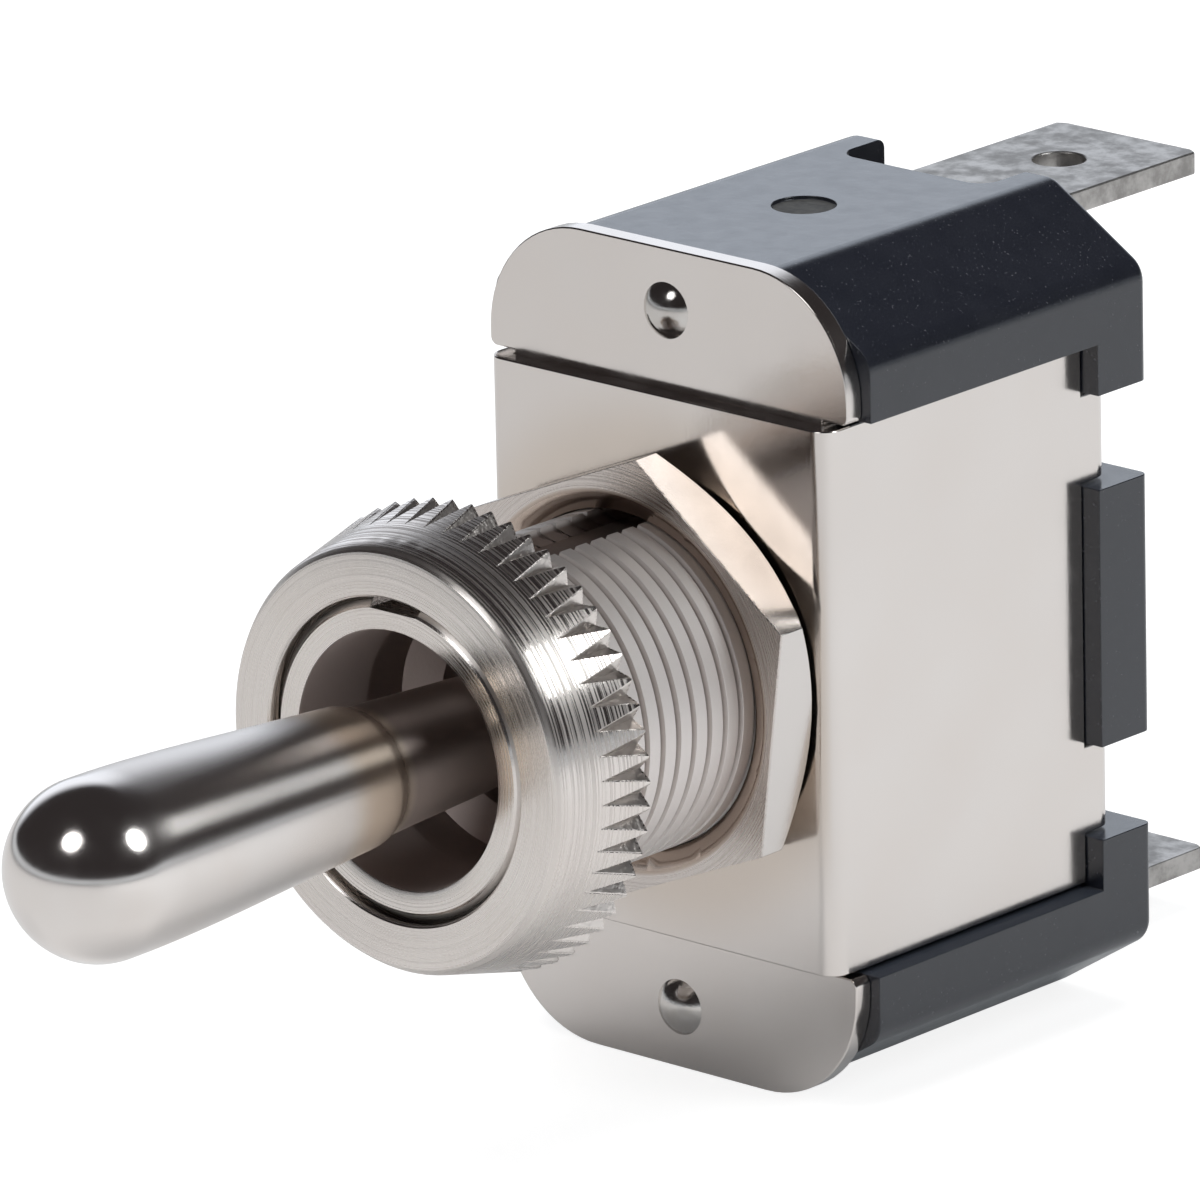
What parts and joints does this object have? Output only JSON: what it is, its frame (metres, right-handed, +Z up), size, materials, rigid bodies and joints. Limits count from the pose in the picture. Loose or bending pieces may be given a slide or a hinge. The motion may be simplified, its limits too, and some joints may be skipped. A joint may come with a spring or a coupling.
{
  "type": "panel toggle switch",
  "caption": "Panel toggle switch: bat lever in a threaded bushing with a notched face nut and a hex nut, a plated U frame round a black case, and flat push-on terminals.",
  "frame": {"origin": "on the bushing axis, at the front face of the frame", "axes": "+X right, +Y back towards the terminals, +Z up along the body; the lever points along -Y"},
  "size_m": [0.017, 0.0565, 0.0294],
  "materials": {
    "bright_nickel": "polished bright nickel plate on solid brass",
    "turned_nickel": "nickel plate over turned metal, with fine turning lines",
    "plated_sheet": "satin nickel plate on steel sheet",
    "rivet_metal": "dull plated steel",
    "moulded_case": "black moulded phenolic, half gloss",
    "terminal_tin": "dull tinned brass strip",
    "inner_steel": "bright spring steel",
    "inner_brass": "plain brass",
    "inner_copper": "plain copper alloy",
    "contact_silver": "plain silver contact",
    "plunger_nylon": "natural nylon",
    "insulating_sheet": "dark laminated insulating sheet"
  },
  "bodies": {
    "switch": {"bushing": "turned_nickel", "pin_retainer": "inner_brass", "frame": "plated_sheet", "cover_plate": "plated_sheet", "cover_rivets": "rivet_metal", "insulator": "insulating_sheet", "housing": "moulded_case", "terminal_upper": "terminal_tin", "terminal_lower": "terminal_tin", "fulcrum_bracket": "inner_brass", "bracket_rivet": "inner_brass", "rocker_pin": "inner_steel", "fixed_contact": "contact_silver"},
    "lever": {"bat_lever": "bright_nickel", "lever_pin": "inner_steel", "plunger_spring": "inner_steel"},
    "plunger": {"plunger": "plunger_nylon"},
    "contact_arm": {"rocker": "inner_copper", "moving_contact": "contact_silver"},
    "face_nut": {"knurled_nut": "turned_nickel"},
    "back_nut": {"hex_nut": "turned_nickel"}
  },
  "joints": [
    {"name": "lever_tilt", "type": "hinge", "parent": "switch", "child": "lever", "pos_m": [0, -0.0048, 0], "axis": [1, 0, 0], "range_deg": [-12, 12]},
    {"name": "contact_arm_tilt", "type": "hinge", "parent": "switch", "child": "contact_arm", "pos_m": [0, 0.00781, 0], "axis": [1, 0, 0], "range_deg": [-15, 15]},
    {"name": "plunger_slide", "type": "slide", "parent": "lever", "child": "plunger", "axis": [0, -1, 0], "range_m": [0, 0.0005], "stiffness_N_per_m": 200, "springref_m": -0.002, "deforming": ["plunger_spring"]},
    {"name": "face_nut_turn", "type": "hinge", "parent": "switch", "child": "face_nut", "pos_m": [0, -0.0116, 0], "axis": [0, 1, 0], "continuous": true},
    {"name": "back_nut_turn", "type": "hinge", "parent": "switch", "child": "back_nut", "pos_m": [0, -0.0012, 0], "axis": [0, 1, 0], "continuous": true}
  ],
  "couplings": [
    {"joint": "contact_arm_tilt", "follows": "lever_tilt", "ratio": -1.25}
  ]
}
